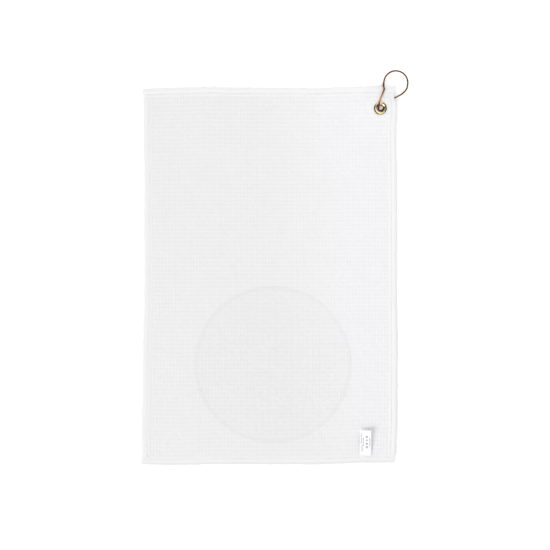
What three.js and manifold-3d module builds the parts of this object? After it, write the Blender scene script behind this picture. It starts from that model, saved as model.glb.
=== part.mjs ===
// Golf towel: a waffle-weave cloth with four stitched hems, a brass grommet in one corner,
// a wire bag hook threaded through the grommet, and a folded care tag sewn into a hem.
// Millimetres. The towel lies flat with its back up: X runs across it, Y along it, Z up.
// The origin is the centre of the towel, on its underside.
import * as THREE from 'three';
import { mergeVertices } from 'three/addons/utils/BufferGeometryUtils.js';
import Module from 'manifold-3d';

const wasm = await Module();
wasm.setup();

// ---- driving dimensions -------------------------------------------------------------------
const GAP = 0.3; // clearance kept between any two pieces
const SLACK = 0.05; // a little more room, where a curved piece passes over another

const TOWEL_WIDTH = 406.4; // 16 in
const TOWEL_LENGTH = 609.6; // 24 in
const CLOTH_THICKNESS = 2.2; // the waffle weave, over its ridges

const HEM_WIDTH = 12.7; // 1/2 in
const HEM_THICKNESS = 3.0; // the cloth folded twice and pressed
const HEM_EDGE_RADIUS = 1.4;
const DOG_EAR = 2.5; // how far the top and bottom hems stick out past the left side
const CORNER_TUCK = 1.6; // how far the bottom hem stops short of the right side

const THREAD_DIAMETER = 0.6;
const SEAM_FROM_HEM_EDGE = 3.2; // the seam line, from the hem's inner edge

const GROMMET_FROM_SIDE = 26.4; // grommet centre to the right side
const GROMMET_FROM_TOP = 34.1; // grommet centre to the top side
const GROMMET_OUTER_DIAMETER = 20.6;
const GROMMET_HOLE_DIAMETER = 9.5;
const BARREL_WALL = 0.5;
const FLANGE_RIM_HEIGHT = 0.2;
const FLANGE_CROWN = 1.1; // height of the rolled flange above its rim
const FOOT_THICKNESS = 0.4;
const FOOT_DIAMETER = 13.6;
const FOOT_BEND = 0.25; // how far the barrel's end flares out into the foot
const WASHER_THICKNESS = 0.5;
const WASHER_DIAMETER = 19.2;
const CRIMPED_CLOTH_THICKNESS = 1.4; // the cloth squeezed inside the grommet

const WIRE_DIAMETER = 2.4;
const LOOP_RADIUS = 19.3; // centreline of the hook's open loop
const LOOP_CENTRE = new THREE.Vector2(24.8, 40.9); // from the grommet centre
const LOOP_START = THREE.MathUtils.degToRad(172); // where the neck runs into the loop
const LOOP_END = THREE.MathUtils.degToRad(-12); // where the loop opens out to the tip

const TAG_WIDTH = 18.6;
const TAG_LENGTH = 42.4; // the folded label, from the seam to its fold
const TAG_THICKNESS = 1.0; // both plies and the air between them
const TAG_CENTRE_X = 152.9;
const TAG_FROM_HEM = 1.0; // between the hem's inner edge and where the tag comes out
const TAG_RISE = 7.0; // how far its folded end stands off the cloth
const TAG_CURL = 1.3; // above 1 the label curls up more towards its folded end

// ---- dimensions that follow ---------------------------------------------------------------
const HALF_WIDTH = TOWEL_WIDTH / 2;
const HALF_LENGTH = TOWEL_LENGTH / 2;
const PANEL_HALF_WIDTH = HALF_WIDTH - HEM_WIDTH - GAP;
const PANEL_HALF_LENGTH = HALF_LENGTH - HEM_WIDTH - GAP;
const GROMMET = new THREE.Vector2(HALF_WIDTH - GROMMET_FROM_SIDE, HALF_LENGTH - GROMMET_FROM_TOP);
const WIRE_RADIUS = WIRE_DIAMETER / 2;
const HOLE_RADIUS = GROMMET_HOLE_DIAMETER / 2;
const BARREL_RADIUS = HOLE_RADIUS + BARREL_WALL;

// The grommet's stack, from the floor up: the hook's hidden leg, foot, washer, cloth, flange.
const LEG_HEIGHT = WIRE_RADIUS + SLACK; // centreline of the hidden leg, which lies on the floor
const FOOT_BOTTOM = LEG_HEIGHT + WIRE_RADIUS + GAP;
const WASHER_BOTTOM = FOOT_BOTTOM + FOOT_THICKNESS + GAP;
const CLOTH_AT_GROMMET = WASHER_BOTTOM + WASHER_THICKNESS + GAP + SLACK;
const FLANGE_BOTTOM = CLOTH_AT_GROMMET + CRIMPED_CLOTH_THICKNESS + GAP;
const FLANGE_TOP = FLANGE_BOTTOM + FLANGE_RIM_HEIGHT + FLANGE_CROWN;

// The hidden leg lifts the corner of the towel over it.
const CORNER_LIFT = 3.05; // underside of the cloth over the leg, between grommet and edge
const LIFT_RADIUS = 17; // half the width that stays at that height
const LIFT_FALLOFF = 40; // how far the cloth takes to come down to the floor
const GROMMET_FLAT_RADIUS = 14;
const GROMMET_FALLOFF = 9;
const LOOP_HEIGHT = CORNER_LIFT + HEM_THICKNESS + GAP + WIRE_RADIUS + 2 * SLACK;

// ---- how the cloth lies -------------------------------------------------------------------
const { smoothstep } = THREE.MathUtils;

function distanceToGrommet(x, y) {
  return Math.hypot(x - GROMMET.x, y - GROMMET.y);
}

// Distance to the line from the grommet straight to the top side, which the leg lies under.
function distanceToLeg(x, y) {
  const nearestY = THREE.MathUtils.clamp(y, GROMMET.y, HALF_LENGTH);
  return Math.hypot(x - GROMMET.x, y - nearestY);
}

// Height of the towel's underside above the floor.
function liftAt(x, y) {
  const overLeg = 1 - smoothstep(distanceToLeg(x, y), LIFT_RADIUS, LIFT_RADIUS + LIFT_FALLOFF);
  const nearGrommet = 1 - smoothstep(
    distanceToGrommet(x, y), GROMMET_FLAT_RADIUS, GROMMET_FLAT_RADIUS + GROMMET_FALLOFF);
  return CORNER_LIFT * overLeg + (CLOTH_AT_GROMMET - CORNER_LIFT) * nearGrommet;
}

function clothThicknessAt(x, y) {
  const crimp = 1 - smoothstep(
    distanceToGrommet(x, y), GROMMET_FLAT_RADIUS, GROMMET_FLAT_RADIUS + GROMMET_FALLOFF / 2);
  return CLOTH_THICKNESS - (CLOTH_THICKNESS - CRIMPED_CLOTH_THICKNESS) * crimp;
}

const CROWDING = 1.7; // at 1 the stations stay evenly spaced

// Packs evenly spaced stations closer together towards the high end of a span, where the
// lifted corner is.
function crowd(value, low, high) {
  const left = (high - value) / (high - low);
  return high - (high - low) * left ** CROWDING;
}

// Rewrites every vertex of a geometry through move(point).
function reshape(geometry, move) {
  const position = geometry.attributes.position;
  const point = new THREE.Vector3();
  for (let i = 0; i < position.count; i += 1) {
    point.fromBufferAttribute(position, i);
    move(point);
    position.setXYZ(i, point.x, point.y, point.z);
  }
  return geometry;
}

function raiseWithCloth(geometry) {
  return reshape(geometry, (point) => {
    point.z += liftAt(point.x, point.y);
  });
}

// ---- solids -------------------------------------------------------------------------------
function weld(geometry) {
  geometry.deleteAttribute('normal');
  geometry.deleteAttribute('uv');
  return mergeVertices(geometry, 1e-4);
}

function toManifold(geometry) {
  const welded = weld(geometry.clone());
  const vertProperties = new Float32Array(welded.attributes.position.array);
  const triVerts = new Uint32Array(welded.index.array);
  return new wasm.Manifold(new wasm.Mesh({ numProp: 3, vertProperties, triVerts }));
}

function toGeometry(solid) {
  const { vertProperties, triVerts } = solid.getMesh();
  const geometry = new THREE.BufferGeometry();
  geometry.setAttribute('position', new THREE.BufferAttribute(vertProperties, 3));
  geometry.setIndex(new THREE.BufferAttribute(triVerts, 1));
  return geometry;
}

// ---- towel --------------------------------------------------------------------------------
function clothGeometry() {
  const panel = new THREE.BoxGeometry(
    2 * PANEL_HALF_WIDTH, 2 * PANEL_HALF_LENGTH, CLOTH_THICKNESS, 16, 20, 1);
  reshape(panel, (point) => {
    const isTop = point.z > 0;
    point.x = crowd(point.x, -PANEL_HALF_WIDTH, PANEL_HALF_WIDTH);
    point.y = crowd(point.y, -PANEL_HALF_LENGTH, PANEL_HALF_LENGTH);
    point.z = liftAt(point.x, point.y) + (isTop ? clothThicknessAt(point.x, point.y) : 0);
  });
  const cutterHeight = 20;
  const cutter = new THREE.CylinderGeometry(BARREL_RADIUS + GAP, BARREL_RADIUS + GAP, cutterHeight, 32);
  cutter.rotateX(Math.PI / 2);
  cutter.translate(GROMMET.x, GROMMET.y, CLOTH_AT_GROMMET);
  return toGeometry(toManifold(panel).subtract(toManifold(cutter)));
}

// Section of a hem: x runs inwards from its folded outer edge, y is up. A groove above and
// below takes the two threads of the seam.
function hemSection() {
  const seam = HEM_WIDTH - SEAM_FROM_HEM_EDGE;
  const grooveSide = THREAD_DIAMETER / 2 + GAP;
  const grooveDepth = THREAD_DIAMETER + GAP;
  const section = new THREE.Shape();
  section.moveTo(HEM_WIDTH, 0);
  section.lineTo(HEM_WIDTH, HEM_THICKNESS);
  section.lineTo(seam + grooveSide, HEM_THICKNESS);
  section.lineTo(seam + grooveSide, HEM_THICKNESS - grooveDepth);
  section.lineTo(seam - grooveSide, HEM_THICKNESS - grooveDepth);
  section.lineTo(seam - grooveSide, HEM_THICKNESS);
  section.lineTo(HEM_EDGE_RADIUS, HEM_THICKNESS);
  section.absellipse(
    HEM_EDGE_RADIUS, HEM_THICKNESS / 2, HEM_EDGE_RADIUS, HEM_THICKNESS / 2,
    Math.PI / 2, 3 * Math.PI / 2, false, 0);
  section.lineTo(seam - grooveSide, 0);
  section.lineTo(seam - grooveSide, grooveDepth);
  section.lineTo(seam + grooveSide, grooveDepth);
  section.lineTo(seam + grooveSide, 0);
  section.closePath();
  return section;
}

function threadSection(height) {
  const section = new THREE.Shape();
  section.absarc(HEM_WIDTH - SEAM_FROM_HEM_EDGE, height, THREAD_DIAMETER / 2, 0, 2 * Math.PI, false);
  return section;
}

// Runs a section along one side of the towel, from low to high along that side.
function alongSide(section, side) {
  const band = new THREE.ExtrudeGeometry(section, {
    depth: side.high - side.low,
    steps: side.steps,
    curveSegments: 4,
    bevelEnabled: false,
  });
  reshape(band, (point) => {
    const inwards = point.x;
    const height = point.y;
    const along = crowd(side.low + point.z, side.low, side.high);
    const across = side.outward * (side.half - inwards);
    point.set(side.alongX ? along : across, side.alongX ? across : along, height);
  });
  const isMirrored = side.alongX === (side.outward > 0);
  if (isMirrored) {
    band.setIndex(flippedIndex(band));
  }
  return raiseWithCloth(weld(band));
}

// Two of the four sides come out mirrored, so their faces are turned round.
function flippedIndex(geometry) {
  const flipped = [];
  for (let i = 0; i < geometry.attributes.position.count; i += 3) {
    flipped.push(i, i + 2, i + 1);
  }
  return flipped;
}

const SIDES = {
  top: {
    alongX: true, outward: 1, half: HALF_LENGTH,
    low: -HALF_WIDTH - DOG_EAR, high: HALF_WIDTH, steps: 16,
  },
  bottom: {
    alongX: true, outward: -1, half: HALF_LENGTH,
    low: -HALF_WIDTH - DOG_EAR, high: HALF_WIDTH - CORNER_TUCK, steps: 1,
  },
  left: {
    alongX: false, outward: -1, half: HALF_WIDTH,
    low: -PANEL_HALF_LENGTH, high: PANEL_HALF_LENGTH, steps: 1,
  },
  right: {
    alongX: false, outward: 1, half: HALF_WIDTH,
    low: -PANEL_HALF_LENGTH, high: PANEL_HALF_LENGTH, steps: 20,
  },
};

// ---- grommet ------------------------------------------------------------------------------
// Turns a closed (radius, height) outline about the grommet's axis.
function turned(outline) {
  const points = outline.map(([radius, height]) => new THREE.Vector2(radius, height));
  points.push(points[0].clone());
  const ring = new THREE.LatheGeometry(points, 32);
  ring.rotateX(Math.PI / 2);
  ring.translate(GROMMET.x, GROMMET.y, 0);
  return weld(ring);
}

// The eyelet is one stamping: a foot spread under the washer, a barrel through the cloth,
// and a wide flange rolled over the cloth's upper face.
function eyeletGeometry() {
  const rimRadius = GROMMET_OUTER_DIAMETER / 2;
  const rollCentre = (rimRadius + HOLE_RADIUS) / 2;
  const rollHalfWidth = (rimRadius - HOLE_RADIUS) / 2;
  const outline = [
    [HOLE_RADIUS, FOOT_BOTTOM + FOOT_THICKNESS],
    [HOLE_RADIUS + FOOT_BEND, FOOT_BOTTOM],
    [FOOT_DIAMETER / 2, FOOT_BOTTOM],
    [FOOT_DIAMETER / 2, FOOT_BOTTOM + FOOT_THICKNESS],
    [BARREL_RADIUS, FOOT_BOTTOM + FOOT_THICKNESS],
    [BARREL_RADIUS, FLANGE_BOTTOM],
    [rimRadius, FLANGE_BOTTOM],
  ];
  const rollSteps = 10;
  for (let i = 0; i <= rollSteps; i += 1) {
    const angle = Math.PI * i / rollSteps;
    outline.push([
      rollCentre + rollHalfWidth * Math.cos(angle),
      FLANGE_BOTTOM + FLANGE_RIM_HEIGHT + FLANGE_CROWN * Math.sin(angle),
    ]);
  }
  return turned(outline);
}

function washerGeometry() {
  const inner = BARREL_RADIUS + GAP;
  const outer = WASHER_DIAMETER / 2;
  return turned([
    [inner, WASHER_BOTTOM],
    [outer, WASHER_BOTTOM],
    [outer, WASHER_BOTTOM + WASHER_THICKNESS],
    [inner, WASHER_BOTTOM + WASHER_THICKNESS],
  ]);
}

// ---- hook ---------------------------------------------------------------------------------
// One length of wire, from its hidden end to its tip, measured from the grommet centre. Its
// lower eye goes round the edge of the towel: in along the floor, across under the grommet's
// hole, up through the hole, and back over the flange.
const NECK_Y = 41.0; // beyond the towel's edge at every angle of the swing
const NECK_X = 5.3;
const ENTRY_X = -2.35; // where the wire goes down through the hole
const ENTRY_Y = 2.2;
const OVER_FLANGE = FLANGE_TOP + GAP + WIRE_RADIUS + SLACK;

function hookPath() {
  const hiddenLeg = [
    [NECK_X, NECK_Y, LOOP_HEIGHT - WIRE_RADIUS - GAP - SLACK],
    [NECK_X, NECK_Y, LEG_HEIGHT + 2.2],
    [NECK_X, NECK_Y - 0.6, LEG_HEIGHT + 0.6],
    [NECK_X, NECK_Y - 2.2, LEG_HEIGHT],
    [5.9, 29, LEG_HEIGHT],
    [6.2, 18, LEG_HEIGHT],
    [6.2, 8, LEG_HEIGHT],
    [5.8, 1.8, LEG_HEIGHT],
    [4.0, -2.2, LEG_HEIGHT],
    [1.0, -3.6, LEG_HEIGHT],
    [-1.7, -2.5, LEG_HEIGHT],
    [ENTRY_X - 0.4, ENTRY_Y - 2.4, LEG_HEIGHT + 0.25],
    [ENTRY_X - 0.1, ENTRY_Y - 0.6, LEG_HEIGHT + 1.0],
    [ENTRY_X, ENTRY_Y, FOOT_BOTTOM + FOOT_THICKNESS],
  ];
  const shank = [
    [ENTRY_X, ENTRY_Y, FLANGE_BOTTOM],
    [ENTRY_X, ENTRY_Y + 0.7, OVER_FLANGE - 1.0],
    [ENTRY_X + 0.05, ENTRY_Y + 2.6, OVER_FLANGE],
    [ENTRY_X + 0.3, ENTRY_Y + 5.6, OVER_FLANGE],
    [-1.2, 12.2, LOOP_HEIGHT + 0.55],
    [0.45, 16.6, LOOP_HEIGHT],
    [5.0, 27.4, LOOP_HEIGHT],
    [6.1, 31.0, LOOP_HEIGHT],
    [5.55, 35.4, LOOP_HEIGHT],
    [NECK_X, 39.6, LOOP_HEIGHT],
  ];
  const loop = [];
  const loopSteps = 12;
  for (let i = 0; i <= loopSteps; i += 1) {
    const angle = LOOP_START + (LOOP_END - LOOP_START) * i / loopSteps;
    loop.push([
      LOOP_CENTRE.x + LOOP_RADIUS * Math.cos(angle),
      LOOP_CENTRE.y + LOOP_RADIUS * Math.sin(angle),
      LOOP_HEIGHT,
    ]);
  }
  const tip = [
    [42.4, 31.7, LOOP_HEIGHT],
    [37.9, 25.8, LOOP_HEIGHT],
    [33.4, 22.2, LOOP_HEIGHT],
    [28.0, 19.2, LOOP_HEIGHT],
    [22.7, 16.7, LOOP_HEIGHT],
  ];
  const points = [...hiddenLeg, ...shank, ...loop, ...tip].map(
    ([x, y, z]) => new THREE.Vector3(GROMMET.x + x, GROMMET.y + y, z));
  return new THREE.CatmullRomCurve3(points, false, 'centripetal');
}

function hookGeometry() {
  const section = new THREE.Shape();
  section.absarc(0, 0, WIRE_RADIUS, 0, 2 * Math.PI, false);
  const wire = new THREE.ExtrudeGeometry(section, {
    extrudePath: hookPath(),
    steps: 150,
    curveSegments: 5,
    bevelEnabled: false,
  });
  return weld(wire);
}

// ---- care tag -----------------------------------------------------------------------------
// A ribbon folded in half, caught in the seam of the bottom hem; its folded end stands up.
const TAG_ROOT_Y = -HALF_LENGTH + HEM_WIDTH + TAG_FROM_HEM;
const TAG_ROOT_HEIGHT = HEM_THICKNESS + GAP + TAG_THICKNESS / 2;

function tagGeometry() {
  const steps = 12;
  const lower = [];
  const upper = [];
  for (let i = 0; i <= steps; i += 1) {
    const share = i / steps;
    const y = TAG_ROOT_Y + TAG_LENGTH * share;
    const z = TAG_ROOT_HEIGHT + TAG_RISE * share ** TAG_CURL;
    lower.push(new THREE.Vector2(y, z - TAG_THICKNESS / 2));
    upper.push(new THREE.Vector2(y, z + TAG_THICKNESS / 2));
  }
  const section = new THREE.Shape([...lower, ...upper.reverse()]);
  const tag = new THREE.ExtrudeGeometry(section, { depth: TAG_WIDTH, bevelEnabled: false });
  reshape(tag, (point) => {
    point.set(TAG_CENTRE_X - TAG_WIDTH / 2 + point.z, point.x, point.y);
  });
  return weld(tag);
}

// ---- materials ----------------------------------------------------------------------------
function cloth(colour) {
  return new THREE.MeshStandardMaterial({ color: colour, roughness: 0.95, metalness: 0 });
}

function metal(colour, roughness) {
  return new THREE.MeshStandardMaterial({ color: colour, roughness, metalness: 1 });
}

// ---- assembly -----------------------------------------------------------------------------
const towel = new THREE.Group();

function add(name, geometry, material) {
  const mesh = new THREE.Mesh(geometry, material);
  mesh.name = name;
  towel.add(mesh);
}

add('towel_cloth', clothGeometry(), cloth('#f1f1f2'));
for (const [name, side] of Object.entries(SIDES)) {
  add(`hem_${name}`, alongSide(hemSection(), side), cloth('#f2f2f3'));
  const needleHeight = HEM_THICKNESS - THREAD_DIAMETER / 2;
  add(`needle_thread_${name}`, alongSide(threadSection(needleHeight), side), cloth('#f6f6f6'));
  const bobbinHeight = THREAD_DIAMETER / 2;
  add(`bobbin_thread_${name}`, alongSide(threadSection(bobbinHeight), side), cloth('#f6f6f6'));
}
add('grommet_eyelet', eyeletGeometry(), metal('#c9ab63', 0.22));
add('grommet_washer', washerGeometry(), metal('#c2a45e', 0.3));
add('hook', hookGeometry(), metal('#9a6a40', 0.3));
add('care_tag', tagGeometry(), cloth('#fbfbfd'));

export default towel;
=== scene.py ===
"""A white waffle-weave golf towel laid flat with its back up.

It has four stitched hems, a brass grommet with a wire bag hook through it, and a folded care
tag. Lengths are millimetres in the frame of the CAD model until a mesh is made, in metres.
"""

import math

import bpy
import numpy as np
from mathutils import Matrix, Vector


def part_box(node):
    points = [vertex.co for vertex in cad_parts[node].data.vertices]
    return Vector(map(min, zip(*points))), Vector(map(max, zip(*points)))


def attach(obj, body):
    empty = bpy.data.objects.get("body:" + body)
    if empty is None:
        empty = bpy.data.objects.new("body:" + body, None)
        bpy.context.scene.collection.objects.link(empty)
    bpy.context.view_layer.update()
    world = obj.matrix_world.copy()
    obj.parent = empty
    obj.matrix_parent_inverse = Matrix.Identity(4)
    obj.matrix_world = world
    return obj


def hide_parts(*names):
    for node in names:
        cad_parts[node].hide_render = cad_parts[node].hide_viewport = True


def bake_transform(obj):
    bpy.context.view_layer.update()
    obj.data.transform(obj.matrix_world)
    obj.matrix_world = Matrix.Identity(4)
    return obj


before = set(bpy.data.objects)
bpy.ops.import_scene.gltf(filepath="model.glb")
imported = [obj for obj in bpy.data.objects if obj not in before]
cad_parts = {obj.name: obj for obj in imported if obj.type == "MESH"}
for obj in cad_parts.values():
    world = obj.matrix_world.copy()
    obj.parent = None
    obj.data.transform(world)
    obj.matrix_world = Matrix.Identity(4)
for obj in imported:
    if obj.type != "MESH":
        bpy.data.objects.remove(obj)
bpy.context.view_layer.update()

MM = 0.001
RNG = np.random.default_rng(16)


def box_mm(node):
    low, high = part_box(node)
    return np.array(low) / MM, np.array(high) / MM


# ---- sizes -----------------------------------------------------------------------------------
TOP_LOW, TOP_HIGH = box_mm("hem_top")
RIGHT_HIGH = box_mm("hem_right")[1]
EYELET_LOW, EYELET_HIGH = box_mm("grommet_eyelet")
WASHER_LOW, WASHER_HIGH = box_mm("grommet_washer")
TAG_LOW, TAG_HIGH = box_mm("care_tag")

HALF_WIDTH = RIGHT_HIGH[0]
HALF_LENGTH = TOP_HIGH[1]
HEM_WIDTH = TOP_HIGH[1] - TOP_LOW[1]
GROMMET = (EYELET_LOW + EYELET_HIGH)[:2] / 2

CLOTH_THICKNESS = 2.2  # over the ridges of both faces
PIT_DEPTH = 1.05  # of the waffle, on each face
PRESSED_BY = 0.25  # how much lower each face is next to a hem
FUZZ = 0.025  # unevenness of the upper face from one point to the next
CELLS_ACROSS = 76
CELLS_ALONG = 88
SAMPLES_PER_CELL = 4
PANEL_HALF_WIDTH = HALF_WIDTH - HEM_WIDTH
PANEL_HALF_LENGTH = HALF_LENGTH - HEM_WIDTH
CELL_X = 2 * PANEL_HALF_WIDTH / CELLS_ACROSS
CELL_Y = 2 * PANEL_HALF_LENGTH / CELLS_ALONG

HEM_CREST = 3.05  # height of a hem, away from its seam and corners
HEM_AT_EDGE = 1.5  # height of the middle of the folded edge
SEAM_INWARDS = HEM_WIDTH - 3.2  # the seam line, from the towel's outer edge
SEAM_DEPTH = 0.9  # of the groove that the stitches pull into the hem
STITCH_PITCH = 2.8
STITCH_LENGTH = 2.45
THREAD_RADIUS = 0.27
NEEDLE_HEIGHT = HEM_CREST - SEAM_DEPTH + 0.12  # the upper stitches lie in the groove
BOBBIN_HEIGHT = 0.32
DOG_EAR = 2.7  # how far the left ends of the top and bottom hems stick out

# The hook's hidden leg lifts the corner. These repeat how the CAD cloth lies.
CORNER_LIFT = 3.05
LIFT_RADIUS = 17
LIFT_FALLOFF = 40
CLOTH_AT_GROMMET = 4.3  # height of the underside there
GROMMET_FLAT_RADIUS = 14
GROMMET_FALLOFF = 9
CRIMPED_THICKNESS = 1.4
HOLE_IN_CLOTH = 5.75  # its radius

# How far each edge strays from straight, at stations along it.
TOP_STRAY = [
    (-203, -2.3), (-156, -1.1), (-98, 0.3), (-70, -0.2), (-40, -0.6), (38, -0.6), (77, -0.5),
    (115, 0.7), (150, 0.9), (203, 0.1),
]
BOTTOM_STRAY = [
    (-203, 0.8), (-156, -0.5), (-80, 1.1), (0, 0.9), (38, 1.0), (77, 0.9), (115, 2.2),
    (154, 3.9), (203, 3.9),
]
LEFT_STRAY = [
    (-305, -4.9), (-240, -5.8), (-170, -4.3), (-104, -3.5), (-40, -1.6), (26, -1.4),
    (91, -1.6), (155, -1.0), (219, -2.7), (305, -2.6),
]
RIGHT_STRAY = [
    (-305, -2.4), (-284, 0.0), (-235, 1.4), (-104, 2.0), (-40, 1.0), (26, 1.3), (90, 1.1),
    (155, 0.9), (219, -0.2), (281, 0.8), (291, -1.7), (305, -2.6),
]


# ---- smooth functions ------------------------------------------------------------------------
def ease(value, low, high):
    """0 below low, 1 above high, and a smooth step between."""
    share = np.clip((value - low) / (high - low), 0, 1)
    return share * share * (3 - 2 * share)


def through(table, value):
    """A smooth line through a table's points, level at each of them."""
    stations = np.array([station for station, _ in table], float)
    heights = np.array([height for _, height in table], float)
    index = np.clip(np.searchsorted(stations, value) - 1, 0, len(stations) - 2)
    share = ease(value, stations[index], stations[index + 1])
    return heights[index] + (heights[index + 1] - heights[index]) * share


def wobble(value, pitch, amount, seed):
    """Irregular smooth waves about 2 * pitch long, the same on each run."""
    count = 4096
    knots = np.random.default_rng(seed).uniform(-1, 1, count)
    place = np.asarray(value, float) / pitch + count / 2
    index = np.floor(place).astype(int) % (count - 1)
    share = ease(place - np.floor(place), 0, 1)
    return amount * (knots[index] * (1 - share) + knots[index + 1] * share)


def wobble_2d(x, y, pitch, amount, seed):
    """Irregular smooth hills about 2 * pitch wide, the same on each run."""
    count = 256
    knots = np.random.default_rng(seed).uniform(-1, 1, (count, count))
    u = np.asarray(x, float) / pitch + count / 2
    v = np.asarray(y, float) / pitch + count / 2
    i = np.floor(u).astype(int) % (count - 1)
    j = np.floor(v).astype(int) % (count - 1)
    s = ease(u - np.floor(u), 0, 1)
    t = ease(v - np.floor(v), 0, 1)
    near = knots[i, j] * (1 - s) + knots[i + 1, j] * s
    far = knots[i, j + 1] * (1 - s) + knots[i + 1, j + 1] * s
    return amount * (near * (1 - t) + far * t)


# ---- how the towel lies ----------------------------------------------------------------------
def to_grommet(x, y):
    return np.hypot(x - GROMMET[0], y - GROMMET[1])


def lift(x, y):
    """Height of the underside where the hook's leg and the grommet raise the corner."""
    along = np.clip(y, GROMMET[1], HALF_LENGTH)
    to_leg = np.hypot(x - GROMMET[0], y - along)
    over_leg = 1 - ease(to_leg, LIFT_RADIUS, LIFT_RADIUS + LIFT_FALLOFF)
    near_grommet = 1 - ease(
        to_grommet(x, y), GROMMET_FLAT_RADIUS, GROMMET_FLAT_RADIUS + GROMMET_FALLOFF
    )
    return CORNER_LIFT * over_leg + (CLOTH_AT_GROMMET - CORNER_LIFT) * near_grommet


def undulation(x, y):
    """The low soft waves of cloth that has been unfolded and laid down."""
    waves = wobble_2d(x, y, 95, 0.7, 5) + wobble_2d(x, y, 42, 0.3, 6)
    from_ridge = (x + 0.75 * y - 120) / 60
    ridge = 0.8 * np.exp(-from_ridge ** 2) * ease(y, 40, 160)
    level = waves + ridge + 0.25
    # Whatever would sink below the floor is smoothly kept just above it.
    settled = 0.5 * (level + np.sqrt(level ** 2 + 0.05))
    away_from_corner = ease(to_grommet(x, y), 30, 80)
    return settled * away_from_corner


def laid(x, y):
    """Where a point of the flat towel ends up, and the height of the underside there."""
    past_middle = -HALF_LENGTH * 0.2
    up = ease(y, past_middle, HALF_LENGTH)
    down = ease(-y, past_middle, HALF_LENGTH)
    right = ease(x, 0, HALF_WIDTH)
    left = ease(-x, 0, HALF_WIDTH)
    moved_x = x + through(RIGHT_STRAY, y) * right + through(LEFT_STRAY, y) * left
    moved_y = y + through(TOP_STRAY, x) * up + through(BOTTOM_STRAY, x) * down
    return moved_x, moved_y, lift(x, y) + undulation(x, y)


def cell_wall(position, pitch):
    """1 on the wall between two cells, 0 in the middle of a cell."""
    share = position / pitch
    return np.abs(2 * (share - np.floor(share)) - 1)


def waffle(x, y):
    """Height of the waffle weave, from 0 in the pit of a cell to 1 on its walls."""
    across = cell_wall(x + PANEL_HALF_WIDTH, CELL_X)
    along = cell_wall(y + PANEL_HALF_LENGTH, CELL_Y)
    return np.maximum(across, along) ** 1.4


def upper_pits(x, y):
    """How deep in a pit of the upper face a point is, from 0 to 1."""
    return 1 - waffle(x, y)


def lower_pits(x, y):
    """The same on the underside, whose cells are half a cell away from those above."""
    return 1 - waffle(x + CELL_X / 2, y + CELL_Y / 2)


def weave_drift(x, y):
    """The rows and columns of a woven cloth wander a little."""
    drift_x = wobble_2d(x, y, 60, 0.5, 11) + wobble_2d(x, y, 14, 0.12, 12)
    drift_y = wobble_2d(x, y, 70, 0.6, 13) + wobble_2d(x, y, 16, 0.15, 14)
    inside = ease(HALF_WIDTH - np.abs(x), HEM_WIDTH, 3 * HEM_WIDTH)
    inside *= ease(HALF_LENGTH - np.abs(y), HEM_WIDTH, 3 * HEM_WIDTH)
    return drift_x * inside, drift_y * inside


# ---- mesh making -----------------------------------------------------------------------------
def new_piece(name, vertices, faces, body, nodes, materials):
    """Adds a smooth mesh, given in mm, that stands for CAD nodes, and rides on a body if told."""
    mesh = bpy.data.meshes.new(name)
    mesh.from_pydata((np.asarray(vertices) * MM).tolist(), [], faces)
    mesh.update()
    mesh.shade_smooth()
    for each in materials:
        mesh.materials.append(each)
    piece = bpy.data.objects.new(name, mesh)
    bpy.context.scene.collection.objects.link(piece)
    if body:
        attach(piece, body)
    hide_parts(*nodes)
    return piece


def store_painted_shade(piece, depths):
    """Records how much painted shade the material puts on each vertex: 0 none, 1 as at the bottom of a
    pit.
    """
    layer = piece.data.attributes.new("pit", "FLOAT", "POINT")
    layer.data.foreach_set("value", np.asarray(depths, np.float32).ravel())


def capped_tube(ring_count, ring_size, first=0):
    """Faces of a tube of rings of points, with both of its ends closed."""
    faces = []
    for i in range(ring_count - 1):
        near = first + i * ring_size
        far = near + ring_size
        for j in range(ring_size):
            k = (j + 1) % ring_size
            faces.append((near + j, near + k, far + k, far + j))
    faces.append(tuple(first + j for j in reversed(range(ring_size))))
    last = first + (ring_count - 1) * ring_size
    faces.append(tuple(last + j for j in range(ring_size)))
    return faces


def turned(profile, segments):
    """Vertices and faces of a closed (radius, height) profile turned about the grommet."""
    vertices = []
    for i in range(segments):
        angle = 2 * math.pi * i / segments
        for radius, height in profile:
            x = GROMMET[0] + radius * math.cos(angle)
            y = GROMMET[1] + radius * math.sin(angle)
            vertices.append((x, y, height))
    size = len(profile)
    faces = []
    for i in range(segments):
        near = i * size
        far = (i + 1) % segments * size
        for j in range(size):
            k = (j + 1) % size
            faces.append((near + j, far + j, far + k, near + k))
    return vertices, faces


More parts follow.
